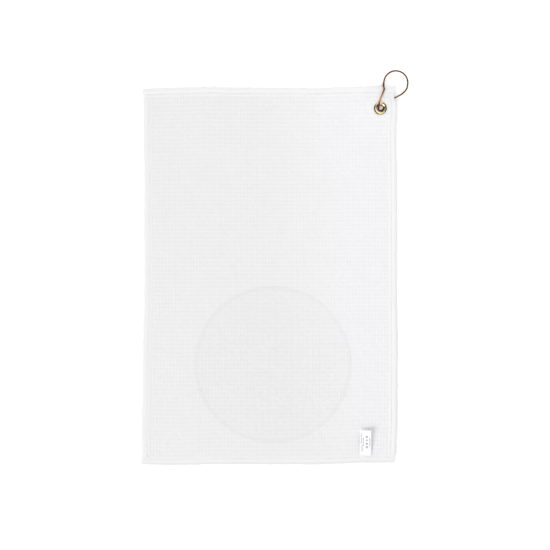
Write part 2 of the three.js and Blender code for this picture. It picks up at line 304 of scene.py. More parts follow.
# ---- materials -------------------------------------------------------------------------------
class NodeTree:
    """Short ways to add nodes to the node tree of a material or of the world."""

    def __init__(self, owner):
        owner.use_nodes = True
        self.nodes = owner.node_tree.nodes
        self.links = owner.node_tree.links

    def feed(self, socket, value):
        if isinstance(value, (int, float, tuple)):
            socket.default_value = value
        else:
            self.links.new(value, socket)

    def node(self, kind, *inputs, **settings):
        """Adds a node with these settings, and feeds its first inputs."""
        added = self.nodes.new(kind)
        for key, value in settings.items():
            setattr(added, key, value)
        for socket, value in zip(added.inputs, inputs):
            self.feed(socket, value)
        return added

    def math(self, operation, a, b=0.0, clamp=False):
        return self.node("ShaderNodeMath", a, b, operation=operation, use_clamp=clamp).outputs[0]

    def near(self, value, centre, reach):
        """1 where value is within reach of centre, and 0 elsewhere."""
        return self.node("ShaderNodeMath", value, centre, reach, operation="COMPARE").outputs[0]

    def fade(self, value, start, end):
        """0 where value is at start, 1 where it is at end, and held beyond them."""
        return self.math("DIVIDE", self.math("SUBTRACT", value, start), end - start, True)

    def vector(self, operation, a, b=(0.0, 0.0, 0.0)):
        added = self.node("ShaderNodeVectorMath", a, b, operation=operation)
        is_number = operation in ("LENGTH", "DISTANCE", "DOT_PRODUCT")
        return added.outputs["Value" if is_number else "Vector"]

    def scaled(self, vector, scale):
        added = self.node("ShaderNodeVectorMath", vector, operation="SCALE")
        self.feed(added.inputs["Scale"], scale)
        return added.outputs["Vector"]

    def parts(self, vector):
        return self.node("ShaderNodeSeparateXYZ", vector).outputs

    def joined(self, x, y, z=0.0):
        return self.node("ShaderNodeCombineXYZ", x, y, z).outputs[0]

    def noise(self, vector, scale, detail):
        added = self.node("ShaderNodeTexNoise", vector)
        added.inputs["Scale"].default_value = scale
        added.inputs["Detail"].default_value = detail
        return added.outputs["Fac"]

    def between(self, share, low, high):
        """A number from low to high as share goes from 0 to 1."""
        added = self.node("ShaderNodeMapRange", share)
        added.inputs["To Min"].default_value = low
        added.inputs["To Max"].default_value = high
        return added.outputs["Result"]

    def mix(self, share, first, second):
        added = self.node("ShaderNodeMix", share, data_type="RGBA")
        for socket, value in ((added.inputs[6], first), (added.inputs[7], second)):
            self.feed(socket, (*value, 1) if isinstance(value, tuple) else value)
        return added.outputs[2]


class Shader(NodeTree):
    """A material with a Principled surface."""

    def __init__(self, name, colour, roughness, **sockets):
        self.material = bpy.data.materials.new(name)
        super().__init__(self.material)
        self.surface = self.nodes["Principled BSDF"]
        self.set("Base Color", (*colour, 1))
        self.set("Roughness", roughness)
        for socket, value in sockets.items():
            self.set(socket.replace("_", " "), value)

    def set(self, socket, value):
        self.feed(self.surface.inputs[socket], value)

    def place(self):
        """The point's place in millimetres in the frame of the CAD model."""
        return self.scaled(self.node("ShaderNodeTexCoord").outputs["Object"], 1 / MM)

    def bump(self, height, distance):
        added = self.node("ShaderNodeBump")
        self.feed(added.inputs["Height"], height)
        added.inputs["Distance"].default_value = distance * MM
        self.set("Normal", added.outputs["Normal"])


YARN_PITCH = 0.62
YARN_DEPTH = 0.07


def yarn_relief(shader, place):
    """Plain-weave yarns crossing at their pitch, roughened by loose fibres."""
    x, y, _ = shader.parts(place)
    turn = 2 * math.pi / YARN_PITCH
    warp = shader.math("SINE", shader.math("MULTIPLY", x, turn))
    weft = shader.math("SINE", shader.math("MULTIPLY", y, turn))
    crossing = shader.math("MULTIPLY", warp, weft)
    fibres = shader.noise(place, 2.2, 3.0)
    return shader.math("ADD", shader.math("MULTIPLY", crossing, 0.35), fibres)


PRINT_CENTRE = (3.8, -142.5)
BALL_RADIUS = 124.0
OUTLINE_HALF = 3.4  # half the width of the ball's outline
DIMPLE_PITCH = 25.0
DIMPLE_RADIUS = DIMPLE_PITCH * 0.33
DIMPLE_LINE_HALF = 1.5


def print_mask(shader, place, fill):
    """A plain golf ball: 1 on the ink of its lines, and fill on the tint inside them."""
    x, y, _ = shader.parts(place)
    x = shader.math("SUBTRACT", x, PRINT_CENTRE[0])
    y = shader.math("SUBTRACT", y, PRINT_CENTRE[1])
    flat = shader.joined(x, y)
    radius = shader.vector("LENGTH", flat)
    outline = shader.near(radius, BALL_RADIUS, OUTLINE_HALF)
    # The dimples lie on a sphere, so they crowd together towards its outline.
    share = shader.math("DIVIDE", radius, BALL_RADIUS)
    share = shader.math("MINIMUM", share, 0.999)
    swell = shader.math("DIVIDE", shader.math("ARCSINE", share), share)
    wrapped = shader.vector("MULTIPLY", flat, shader.joined(swell, swell, swell))
    rows = (DIMPLE_PITCH, DIMPLE_PITCH * math.sqrt(3), 1.0)
    nearest = None
    for shift in (0.0, 0.5):
        moved = shader.vector("ADD", wrapped, (rows[0] * shift, rows[1] * shift, 0.0))
        high = (rows[0] / 2, rows[1] / 2, 1.0)
        low = (-rows[0] / 2, -rows[1] / 2, -1.0)
        cell = shader.node("ShaderNodeVectorMath", moved, high, low, operation="WRAP")
        distance = shader.vector("LENGTH", cell.outputs[0])
        nearest = distance if nearest is None else shader.math("MINIMUM", nearest, distance)
    dimple = shader.near(nearest, DIMPLE_RADIUS, DIMPLE_LINE_HALF)
    lines = shader.math("MULTIPLY", dimple, shader.math("LESS_THAN", radius, BALL_RADIUS * 0.95))
    lines = shader.math("MAXIMUM", outline, shader.math("MULTIPLY", lines, 0.7))
    tint = shader.math("MULTIPLY", shader.math("LESS_THAN", radius, BALL_RADIUS), fill)
    return shader.math("MAXIMUM", lines, tint)


# The two ends of the cloth's tone: soft random patches and the painted light slope both run between
# them.
CLOTH_WHITE = (0.885, 0.883, 0.898)
CLOTH_SHADE = (0.847, 0.8445, 0.847)
SPECKLE_GREY = (0.66, 0.66, 0.66)
# Painted shade: the cloth is greyed in the pits of its weave, where shade falls.
PAINTED_SHADE_GREY = (0.55, 0.55, 0.555)
PAINTED_SHADE_SHARE = 0.14  # share of that grey, painted as shade at the bottom of a pit
INK_GREY = (0.09, 0.1, 0.1)


def cloth_material(name, patch_range, painted_light_slope, ink_strength=0.0, ink_fill=0.0):
    """White cotton in soft patches, with painted light that adds whiteness by a share per mm along X
    and along Y.
    """
    shader = Shader(name, CLOTH_WHITE, 0.92, Sheen_Weight=0.25, Sheen_Roughness=0.5)
    shader.set("Specular IOR Level", 0.2)
    place = shader.place()
    across, along, _ = shader.parts(place)
    # Painted light: the cloth is lighter towards the right and a little towards the top, standing in
    # for light that falls there.
    painted_light = shader.math("ADD", shader.math("MULTIPLY", across, painted_light_slope[0]),
                         shader.math("MULTIPLY", along, painted_light_slope[1]))
    patches = shader.between(shader.noise(place, 0.012, 3.0), *patch_range)
    base = shader.mix(shader.math("ADD", patches, painted_light, True), CLOTH_SHADE, CLOTH_WHITE)
    speckle = shader.between(shader.noise(place, 1.3, 2.0), 0.0, 0.06)
    base = shader.mix(speckle, base, SPECKLE_GREY)
    # Painted shade from the vertex attribute: the pits of the weave and the folded edges of some hems.
    pits = shader.node("ShaderNodeAttribute", attribute_name="pit").outputs["Fac"]
    base = shader.mix(shader.math("MULTIPLY", pits, PAINTED_SHADE_SHARE), base, PAINTED_SHADE_GREY)
    if ink_strength:
        worn = shader.between(shader.noise(place, 0.12, 4.0), 0.1, 1.4)
        ink = shader.math("MULTIPLY", print_mask(shader, place, ink_fill), worn, True)
        base = shader.mix(shader.math("MULTIPLY", ink, ink_strength), base, INK_GREY)
    shader.set("Base Color", base)
    shader.bump(yarn_relief(shader, place), YARN_DEPTH)
    return shader.material


THREAD_TWIST = 0.45  # length of one turn of its plies
THREAD_SHADE = (0.72, 0.72, 0.72)
THREAD_WHITE = (0.84, 0.84, 0.84)


def thread_material():
    """White polyester thread, with the twist of its plies and painted shade between them."""
    shader = Shader("sewing_thread", (0.83, 0.83, 0.83), 0.6, Sheen_Weight=0.3)
    place = shader.place()
    x, y, z = shader.parts(place)
    along = shader.math("ADD", shader.math("ADD", x, y), z)
    twist = shader.math("SINE", shader.math("MULTIPLY", along, 2 * math.pi / THREAD_TWIST))
    # Painted shade: the plies are darker on one side of each turn of the twist.
    shader.set("Base Color", shader.mix(shader.between(twist, 0.0, 0.5), THREAD_SHADE, THREAD_WHITE))
    shader.bump(twist, 0.05)
    return shader.material


def from_grommet(shader, place):
    """The way from the grommet's middle to a place, seen from above, and its length."""
    x, y, _ = shader.parts(place)
    across = shader.joined(shader.math("SUBTRACT", x, GROMMET[0]),
                           shader.math("SUBTRACT", y, GROMMET[1]))
    return across, shader.vector("LENGTH", across)


PALE_BRASS = (0.9, 0.79, 0.5)
DEEP_BRASS = (0.72, 0.56, 0.27)
# The next three colours are painted: shade and dark reflection down the bore, dark reflection on the
# outer rim and in two crescents.
BORE_SHADE_BROWN = (0.17, 0.08, 0.02)
RIM_REFLECTION_OLIVE = (0.3, 0.24, 0.09)
DARK_REFLECTION_BROWN = (0.06, 0.04, 0.008)
# The radii at which the last three of those colours start and are complete.
BORE_SHADE_FADE = (7.1, 5.9)
RIM_REFLECTION_FADE = (9.5, 10.0)
DARK_REFLECTION_FADE = (8.0, 9.0)
DARK_REFLECTION_AXIS = (0.97, 0.25, 0.0)  # the rolled rim gets painted dark reflections at both ends of this line


def brass_material():
    """Polished brass, with painted shade and dark reflection down the bore, and painted dark
    reflections round its outer rim and on two sides of the rolled rim.
    """
    shader = Shader("polished_brass", (0.86, 0.74, 0.44), 0.16, Metallic=1.0)
    place = shader.place()
    tarnish = shader.between(shader.noise(place, 0.3, 4.0), -0.3, 1.1)
    colour = shader.mix(tarnish, PALE_BRASS, DEEP_BRASS)
    across, radius = from_grommet(shader, place)
    # Painted shade and dark reflection down the bore.
    colour = shader.mix(shader.fade(radius, *BORE_SHADE_FADE), colour, BORE_SHADE_BROWN)
    # Painted dark reflection round the outer edge of the rim.
    rim = shader.math("MULTIPLY", shader.fade(radius, *RIM_REFLECTION_FADE), 0.9)
    colour = shader.mix(rim, colour, RIM_REFLECTION_OLIVE)
    # Painted dark reflections: two crescents on opposite sides of the rolled rim.
    facing = shader.vector("DOT_PRODUCT", shader.vector("NORMALIZE", across), DARK_REFLECTION_AXIS)
    sides = shader.fade(shader.math("ABSOLUTE", facing), 0.5, 0.75)
    dark_reflections = shader.math("MULTIPLY", sides, shader.fade(radius, *DARK_REFLECTION_FADE))
    dark_reflections = shader.math("MULTIPLY", dark_reflections, 0.95)
    shader.set("Base Color", shader.mix(dark_reflections, colour, DARK_REFLECTION_BROWN))
    shader.set("Roughness", shader.between(shader.noise(place, 1.1, 3.0), 0.1, 0.24))
    shader.bump(shader.noise(place, 0.8, 4.0), 0.03)
    return shader.material


BRIGHT_COPPER = (0.68, 0.4, 0.17)
COPPER_BROWN = (0.21, 0.066, 0.007)
TIP_BROWN = (0.14, 0.042, 0.004)
GROMMET_SHADE_BROWN = (0.2, 0.055, 0.012)
# How far out from the grommet the wire goes from bright copper to brown, in mm along X and 0.8 of
# those along Y.
BROWN_FADE = (12.0, 34.0)
TIP_FADE = (45.0, 60.0)
GROMMET_SHADE_FADE = (12.0, 9.0)  # the radii between which painted shade turns it brown again, inside the grommet


def wire_material():
    """Copper-toned wire, bright near the grommet and browner towards its tip, with painted shade
    inside the grommet.
    """
    shader = Shader("copper_toned_wire", (0.45, 0.22, 0.1), 0.3, Metallic=1.0)
    place = shader.place()
    across, radius = from_grommet(shader, place)
    x, y, _ = shader.parts(across)
    outwards = shader.math("ADD", x, shader.math("MULTIPLY", y, 0.8))
    patina = shader.between(shader.noise(place, 0.09, 4.0), -0.35, 0.5)
    browned = shader.math("ADD", shader.fade(outwards, *BROWN_FADE), patina, True)
    colour = shader.mix(browned, BRIGHT_COPPER, COPPER_BROWN)
    colour = shader.mix(shader.fade(outwards, *TIP_FADE), colour, TIP_BROWN)
    # Painted shade where the wire passes through the grommet.
    shader.set("Base Color", shader.mix(shader.fade(radius, *GROMMET_SHADE_FADE), colour, GROMMET_SHADE_BROWN))
    shader.set("Specular Tint", (0.22, 0.08, 0.02, 1))
    shader.set("Roughness", shader.between(shader.noise(place, 1.5, 3.0), 0.22, 0.4))
    shader.bump(shader.noise(place, 2.0, 3.0), 0.02)
    return shader.material


RIBBON_WHITE = (0.925, 0.925, 0.94)
RIBBON_INK = (0.3, 0.3, 0.32)
RIBBON_YARN_PITCH = 0.35
RIBBON_UV_MM = 100.0  # length of ribbon to one unit of its UV map


def ribbon_material():
    """White satin ribbon with printed marks; u is mm across it, v is mm from its fold."""
    shader = Shader("satin_ribbon", RIBBON_WHITE, 0.45, Sheen_Weight=0.2)
    uv_map = shader.node("ShaderNodeUVMap", uv_map="ribbon")
    u, v, _ = shader.parts(shader.scaled(uv_map.outputs[0], RIBBON_UV_MM))
    turn = 2 * math.pi / RIBBON_YARN_PITCH
    ribs = shader.math("SINE", shader.math("MULTIPLY", v, turn))
    threads = shader.math("SINE", shader.math("MULTIPLY", u, turn))
    ink = ribbon_print(shader, u, v)
    faded = shader.between(shader.noise(shader.place(), 0.5, 2.0), 0.5, 0.95)
    shader.set("Base Color", shader.mix(shader.math("MULTIPLY", ink, faded), RIBBON_WHITE, RIBBON_INK))
    shader.bump(shader.math("ADD", ribs, shader.math("MULTIPLY", threads, 0.4)), 0.02)
    return shader.material


def ribbon_print(shader, u, v):
    """Columns of plain dashes and one of round marks, none of them letters."""
    columns = [  # place across, half width, dash and gap, dash, first and last from the fold
        (2.6, 0.75, 2.6, 2.0, 4.6, 21.5), (5.6, 0.9, 1.9, 1.4, 11.5, 26.0),
        (3.8, 0.75, 2.2, 1.8, 24.0, 34.5), (16.0, 0.75, 2.1, 1.7, 11.5, 26.5),
    ]
    ink = 0.0
    for centre, half, pitch, dash, low, high in columns:
        broken = shader.math("LESS_THAN", shader.math("PINGPONG", v, pitch / 2), dash / 2)
        length = shader.math("MULTIPLY", shader.math("GREATER_THAN", v, low),
                             shader.math("LESS_THAN", v, high))
        column = shader.math("MULTIPLY", shader.near(u, centre, half), broken)
        ink = shader.math("MAXIMUM", ink, shader.math("MULTIPLY", column, length))
    mark_across = 11.4
    first_mark = 10.6
    mark_pitch = 5.65
    for i, mark_radius in enumerate((2.05, 1.6, 2.05, 2.05)):
        middle = (mark_across, first_mark + mark_pitch * i, 0.0)
        from_middle = shader.vector("DISTANCE", shader.joined(u, v), middle)
        ink = shader.math("MAXIMUM", ink, shader.math("LESS_THAN", from_middle, mark_radius))
    return ink


PANEL_PATCHES = (-0.25, 0.25)
# Painted light: share of whiteness added per mm along X and along Y.
PANEL_PAINTED_LIGHT = (0.0078, 0.0009)
BACK_CLOTH = cloth_material("waffle_back", PANEL_PATCHES, PANEL_PAINTED_LIGHT, 0.06, 0.35)
FRONT_CLOTH = cloth_material("waffle_front", PANEL_PATCHES, PANEL_PAINTED_LIGHT, 0.85, 0.1)
# The hems carry a gentler painted light slope along X.
HEM_CLOTH = cloth_material("hem_cloth", (-0.1, 0.3), (0.0018, 0.0))
THREAD = thread_material()
BRASS = brass_material()
WIRE = wire_material()
RIBBON = ribbon_material()


# ---- cloth panel -----------------------------------------------------------------------------
def panel_heights(x, y):
    """Heights of the two faces of the cloth above where its underside would lie."""
    edge = np.minimum(HALF_WIDTH - np.abs(x), HALF_LENGTH - np.abs(y))
    pressed = 1 - ease(edge, HEM_WIDTH - 1.0, HEM_WIDTH + 3.5)
    crimped = 1 - ease(to_grommet(x, y), 9.5, 16.0)
    relief = PIT_DEPTH * (1 - 0.75 * pressed) * (1 - 0.8 * crimped)
    uneven = 1 + wobble_2d(x, y, 3.1, 0.16, 21)
    top = CLOTH_THICKNESS - relief * uneven * upper_pits(x, y) - PRESSED_BY * pressed
    bottom = relief * lower_pits(x, y) + PRESSED_BY * pressed
    top += (CRIMPED_THICKNESS - top) * crimped
    bottom *= 1 - crimped
    return top, bottom


def panel_grid():
    """Grid of the panel, running a little way under the hems."""
    steps = SAMPLES_PER_CELL
    tuck = 1  # how many steps it runs under them
    columns = np.arange(-tuck, CELLS_ACROSS * steps + tuck + 1)
    rows = np.arange(-tuck, CELLS_ALONG * steps + tuck + 1)
    xs = -PANEL_HALF_WIDTH + columns * CELL_X / steps
    ys = -PANEL_HALF_LENGTH + rows * CELL_Y / steps
    return np.meshgrid(xs, ys, indexing="ij")


def round_the_hole(x, y):
    """Spaces the grid points next to the grommet hole outwards from its circle."""
    dx = x - GROMMET[0]
    dy = y - GROMMET[1]
    radius = np.maximum(np.hypot(dx, dy), 1e-6)
    reach = HOLE_IN_CLOTH + 1.3
    inmost = HOLE_IN_CLOTH - 1.0
    wanted = HOLE_IN_CLOTH + (radius - inmost) * 0.5
    moved = np.where(radius < reach, np.maximum(wanted, HOLE_IN_CLOTH), radius)
    return GROMMET[0] + dx / radius * moved, GROMMET[1] + dy / radius * moved


def make_cloth():
    """The waffle panel, both faces, with its grommet hole cut out."""
    flat_x, flat_y = panel_grid()
    drift_x, drift_y = weave_drift(flat_x, flat_y)
    top, bottom = panel_heights(flat_x, flat_y)
    centre_x = (flat_x[1:, 1:] + flat_x[:-1, :-1]) / 2
    centre_y = (flat_y[1:, 1:] + flat_y[:-1, :-1]) / 2
    kept = to_grommet(centre_x, centre_y) > HOLE_IN_CLOTH - 0.4
    x, y = round_the_hole(flat_x + drift_x, flat_y + drift_y)
    x, y, base = laid(x, y)
    fuzz = RNG.normal(0, FUZZ, top.shape)
    upper = np.stack([x, y, base + top + fuzz], axis=-1).reshape(-1, 3)
    lower = np.stack([x, y, base + bottom], axis=-1).reshape(-1, 3)
    faces, front_count = sheet_faces(kept, top.shape)
    vertices = np.concatenate([upper, lower])
    used = np.zeros(len(vertices), bool)
    used[faces.ravel()] = True
    renumbered = np.cumsum(used) - 1
    piece = new_piece(
        "waffle_cloth", vertices[used], renumbered[faces].tolist(), "towel",
        ["towel_cloth"], [BACK_CLOTH, FRONT_CLOTH],
    )
    is_front = np.zeros(len(faces), np.int32)
    is_front[-front_count:] = 1
    piece.data.polygons.foreach_set("material_index", is_front)
    # Painted shade, deepest at the bottom of each pit on both faces.
    depths = np.stack([upper_pits(flat_x, flat_y), lower_pits(flat_x, flat_y)]).ravel()
    store_painted_shade(piece, depths[used])
    return piece


def sheet_faces(kept, shape):
    """Quads of a closed sheet over the kept cells: upper face, edge walls, lower face."""
    number = np.arange(shape[0] * shape[1]).reshape(shape)
    below = number.size
    a = number[:-1, :-1]
    b = number[1:, :-1]
    c = number[1:, 1:]
    d = number[:-1, 1:]
    upper = np.stack([a, b, c, d], axis=-1)[kept]
    lower = np.stack([d, c, b, a], axis=-1)[kept] + below
    padded = np.pad(kept, 1)
    walls = []
    edges = [
        (a, b, padded[1:-1, :-2]), (b, c, padded[2:, 1:-1]),
        (c, d, padded[1:-1, 2:]), (d, a, padded[:-2, 1:-1]),
    ]
    for start, end, neighbour in edges:
        open_edge = kept & ~neighbour
        wall = np.stack([start, start + below, end + below, end], axis=-1)
        walls.append(wall[open_edge])
    return np.concatenate([upper, *walls, lower]), len(lower)


# ---- hems ------------------------------------------------------------------------------------
def hem_profile():
    """Closed outline of a hem as (inwards, height, relief of the weave, upper side)."""
    points = []
    nose_radius = 2.8
    nose_top = HEM_CREST - 0.25
    for angle in np.linspace(0, math.pi / 2, 8):
        inwards = nose_radius * (1 - math.cos(angle))
        height = HEM_AT_EDGE + (nose_top - HEM_AT_EDGE) * math.sin(angle) ** 0.9
        points.append((inwards, height, 0.05, 1))
    crown = [(3.6, 0.1), (4.8, 0.0), (5.9, 0.12), (7.0, 0.35), (8.0, 0.6), (8.8, 0.78)]
    for inwards, below_crest in crown:
        points.append((inwards, HEM_CREST - below_crest, 0.1, 1))
    groove = [
        (9.2, 0.87), (SEAM_INWARDS, SEAM_DEPTH), (9.8, 0.87), (10.4, 0.76), (11.1, 0.68),
        (11.8, 0.7), (12.4, 0.78),
    ]
    for inwards, below_crest in groove:
        points.append((inwards, HEM_CREST - below_crest, 0.0, 1))
    inner_edge = HEM_WIDTH + 0.1
    points.append((HEM_WIDTH, HEM_CREST - 0.9, 0.0, 1))
    points.append((inner_edge, HEM_CREST - 1.5, 0.0, 1))
    under = [(inner_edge, 0.55), (11.8, 0.2), (10.4, 0.25), (SEAM_INWARDS, 0.45), (8.7, 0.1)]
    for inwards, height in under:
        points.append((inwards, height, 0.1, 0))
    for inwards in np.arange(8.0, 2.4, -CELL_X / SAMPLES_PER_CELL):
        points.append((inwards, 0.0, 0.6, 0))
    for angle in np.linspace(math.pi / 2, 0, 6)[:-1]:
        inwards = nose_radius * (1 - math.cos(angle))
        points.append((inwards, HEM_AT_EDGE * (1 - math.sin(angle)), 0.1, 0))
    return np.array(points)


SIDES = {
    # name: runs along X, outward direction, whether it covers the corners
    "top": (True, 1, True),
    "bottom": (True, -1, True),
    "left": (False, -1, False),
    "right": (False, 1, False),
}

# Painted shade on the folded outer edge of each hem, on the same scale as the painted shade in the
# pits.
EDGE_PAINTED_SHADE = {"top": 0.1, "bottom": 2.3, "left": 0.4, "right": 1.5}

# How much thicker the left and right ends are, where the side hems are turned in under them.
# The hook swings close over the right end of the top hem, which is pressed flat.
CORNER_BULK = {"top": (0.75, 0.05), "bottom": (0.75, 0.75)}

CORNER_TUCK = {"top": 1.2, "bottom": 2.4}  # how far the right end of each is drawn in
SIDE_HEM_TUCK = 5.0  # how far the side hems run in under the top and bottom ones
END_ROUNDING = 1.2  # length over which the ends of a hem are rounded off
END_THINNESS = 0.12  # share of a hem's thickness that is left at its very end


def side_point(side, along, inwards):
    """The flat towel's (x, y) at a distance along one side and inwards from it."""
    runs_along_x, outward, _ = SIDES[side]
    if runs_along_x:
        return along, outward * (HALF_LENGTH - inwards)
    return outward * (HALF_WIDTH - inwards), along


def corner_ear(side, along, inwards):
    """How far the ends of the top and bottom hems are shifted past the side hems."""
    left_end = 1 - ease(along + HALF_WIDTH, 0, 14)
    bump = np.exp(-((inwards - 5.5) / 3.6) ** 2)
    shift = -DOG_EAR * bump * left_end
    right_end = 1 - ease(HALF_WIDTH - along, 0, 10)
    shift -= CORNER_TUCK[side] * np.exp(-inwards / 3.0) * right_end
    return shift + 0.8 * np.exp(-inwards / 2.0) * left_end


def corner_bulk(side, x):
    """How much higher a top or bottom hem is at x, for the side hems turned in under it."""
    bulk = np.where(x < 0, *CORNER_BULK[side])
    return bulk * (1 - ease(HALF_WIDTH - np.abs(x), 9, 17))


def make_hem(side):
    """A folded band along one side, with the groove that its seam pulls into it."""
    runs_along_x, outward, covers_corners = SIDES[side]
    reach = HALF_WIDTH if covers_corners else HALF_LENGTH - HEM_WIDTH + SIDE_HEM_TUCK
    step = (CELL_X if runs_along_x else CELL_Y) / SAMPLES_PER_CELL
    inner = np.arange(-reach + 1.5, reach - 1.5, step)
    ends = np.array([0.0, 0.12, 0.4, 0.85])
    along = np.concatenate([-reach + ends, inner, reach - ends[::-1]])
    profile = hem_profile()
    inwards = np.broadcast_to(profile[:, 0], (len(along), len(profile)))
    height = np.broadcast_to(profile[:, 1], inwards.shape).copy()
    relief = np.broadcast_to(profile[:, 2], inwards.shape)
    upper = np.broadcast_to(profile[:, 3], inwards.shape)
    run = np.broadcast_to(along[:, None], inwards.shape)
    from_end = reach - np.abs(run)
    if covers_corners:
        height += corner_bulk(side, run) * upper * ease(inwards, 0, 3)
    seed = 30 + list(SIDES).index(side)
    near_seam = np.exp(-((inwards - SEAM_INWARDS) / 2.6) ** 2)
    height += upper * wobble(run, 2.4, 0.16, seed) * near_seam
    height += upper * wobble_2d(run, inwards * 2.2, 7.0, 0.14, seed + 10)
    closing = np.sqrt(1 - (1 - np.clip(from_end / END_ROUNDING, 0, 1)) ** 2)
    thickness = END_THINNESS + (1 - END_THINNESS) * closing
    height = HEM_AT_EDGE + (height - HEM_AT_EDGE) * thickness
    x, y = side_point(side, run, inwards)
    pits = np.where(upper > 0, upper_pits(x, y), lower_pits(x, y))
    height += np.where(upper > 0, -1, 1) * relief * pits * closing
    if covers_corners:
        x = x + corner_ear(side, run, inwards)
    edge_wave = wobble(run, 9, 0.3, seed + 20) + wobble(run, 3.0, 0.1, seed + 25)
    edge_wave *= 1 - ease(inwards, 0, 6)
    if runs_along_x:
        y = y + edge_wave
    else:
        x = x + edge_wave
    x, y, base = laid(x, y)
    vertices = np.stack([x, y, base + height], axis=-1).reshape(-1, 3)
    faces = capped_tube(len(along), len(profile))
    if runs_along_x == (outward > 0):
        faces = [face[::-1] for face in faces]
    piece = new_piece(
        f"turned_hem_{side}", vertices, faces, "towel", [f"hem_{side}"], [HEM_CLOTH]
    )
    # Painted shade along the folded outer edge, strongest on the bottom and right hems.
    store_painted_shade(piece, EDGE_PAINTED_SHADE[side] * (1 - ease(inwards, 2.4, 4.6)))
    return piece


# ---- stitches --------------------------------------------------------------------------------
def stitch_rings(length):
    """Rings of one stitch lying along X: (place along it, radius, height)."""
    rings = []
    for share in np.linspace(-1, 1, 7):
        swell = math.sqrt(max(1 - share ** 4, 0.03))
        rings.append((share * length / 2, THREAD_RADIUS * swell, -0.3 * share ** 4))
    return rings


def make_stitches(side, is_needle):
    """The row of lockstitches that holds a hem, above the hem or below it."""
    runs_along_x, outward, covers_corners = SIDES[side]
    reach = HALF_WIDTH - 2.0 if covers_corners else HALF_LENGTH - HEM_WIDTH + 1.0
    sign = 1 if is_needle else -1
    height = NEEDLE_HEIGHT if is_needle else BOBBIN_HEIGHT
    rng = np.random.default_rng(50 + list(SIDES).index(side) + (0 if is_needle else 10))
    ring_size = 6
    angles = 2 * math.pi * np.arange(ring_size) / ring_size
    vertices = []
    faces = []
    for middle in np.arange(-reach, reach, STITCH_PITCH) + STITCH_PITCH / 2:
        rings = stitch_rings(STITCH_LENGTH * rng.uniform(0.93, 1.04))
        slant = rng.normal(0.09, 0.03)
        offset = rng.normal(0, 0.06)
        faces.extend(capped_tube(len(rings), ring_size, len(vertices)))
        for place, radius, rise in rings:
            for angle in angles:
                sideways = offset + slant * place + radius * math.cos(angle)
                up = height + sign * rise + radius * math.sin(angle)
                vertices.append((middle + place, SEAM_INWARDS + sideways, up))
    local = np.array(vertices)
    x, y = side_point(side, local[:, 0], local[:, 1])
    extra = corner_bulk(side, x) if covers_corners and is_needle else 0.0
    x, y, base = laid(x, y)
    placed = np.stack([x, y, base + local[:, 2] + extra], axis=-1)
    kind = "needle" if is_needle else "bobbin"
    if runs_along_x != (outward > 0):
        faces = [face[::-1] for face in faces]
    return new_piece(
        f"{kind}_stitches_{side}", placed, faces, "towel",
        [f"{kind}_thread_{side}"], [THREAD],
    )


# ---- grommet ---------------------------------------------------------------------------------
def make_eyelet():
    """One brass stamping: a spread foot, a barrel and a wide rolled flange."""
    rim = (EYELET_HIGH[0] - EYELET_LOW[0]) / 2
    bottom = EYELET_LOW[2]
    top = EYELET_HIGH[2]
    hole = 4.75
    barrel = 5.2
    flange_bottom = top - 1.3
    upper_side = [
        (rim, flange_bottom + 0.25), (rim - 0.06, flange_bottom + 0.55),
        (rim - 0.28, flange_bottom + 0.85), (rim - 0.66, flange_bottom + 1.1),
        (rim - 1.15, flange_bottom + 1.25), (rim - 1.7, top), (rim - 2.25, top - 0.05),
        (rim - 2.75, top - 0.22), (rim - 3.2, top - 0.5), (rim - 3.6, top - 0.86),
        (rim - 4.0, top - 1.16), (rim - 4.45, top - 1.42), (rim - 4.9, top - 1.8),
        (rim - 5.25, top - 2.3), (rim - 5.45, top - 2.9),
    ]
    foot = [
        (hole, bottom + 1.4), (hole + 0.03, bottom + 0.7), (hole + 0.2, bottom + 0.25),
        (hole + 0.55, bottom + 0.03), (hole + 1.0, bottom), (6.4, bottom),
        (6.72, bottom + 0.12), (6.75, bottom + 0.28), (6.5, bottom + 0.4),
        (barrel + 0.15, bottom + 0.42), (barrel, bottom + 0.6),
    ]
    inside_the_roll = [
        (barrel + 0.02, top - 2.6), (barrel + 0.2, top - 1.95), (6.0, top - 1.62),
        (6.7, top - 1.2), (7.2, top - 0.8), (7.9, top - 0.5), (8.7, top - 0.42),
        (9.3, top - 0.55), (9.72, top - 0.85), (9.85, top - 1.2), (10.1, top - 1.3),
    ]
    vertices, faces = turned(upper_side + foot + inside_the_roll, 128)
    return new_piece(
        "brass_eyelet", vertices, faces, "towel", ["grommet_eyelet"], [BRASS]
    )


def make_washer():
    """The flat ring on the cloth's other face, with rounded edges."""
    outer = (WASHER_HIGH[0] - WASHER_LOW[0]) / 2
    inner = 5.6
    middle = (WASHER_LOW[2] + WASHER_HIGH[2]) / 2
    half = (WASHER_HIGH[2] - WASHER_LOW[2]) / 2
    profile = []
    for centre, start in ((outer - half, -math.pi / 2), (inner + half, math.pi / 2)):
        for angle in np.linspace(start, start + math.pi, 8):
            profile.append((centre + half * math.cos(angle), middle + half * math.sin(angle)))
    vertices, faces = turned(profile, 96)
    return new_piece(
        "backing_washer", vertices, faces, "towel", ["grommet_washer"], [BRASS]
    )


# ---- hook ------------------------------------------------------------------------------------
WIRE_RADIUS = 1.2
LOOP_RADIUS = 19.3
# These places are measured across the towel from the middle of the grommet.
LOOP_CENTRE = (24.8, 40.9)
LOOP_START = math.radians(172)
LOOP_END = math.radians(-12)
NECK = (5.3, 41.0)
ENTRY = (-2.35, 2.2)  # where the wire goes down through the grommet
LEG_HEIGHT = 1.25
LOOP_HEIGHT = 7.65
OVER_FLANGE = 8.85  # height of the wire where it crosses the grommet's flange


def level_stretch(height, places):
    """Points of the hook's route that lie at one height."""
    return [(x, y, height) for x, y in places]


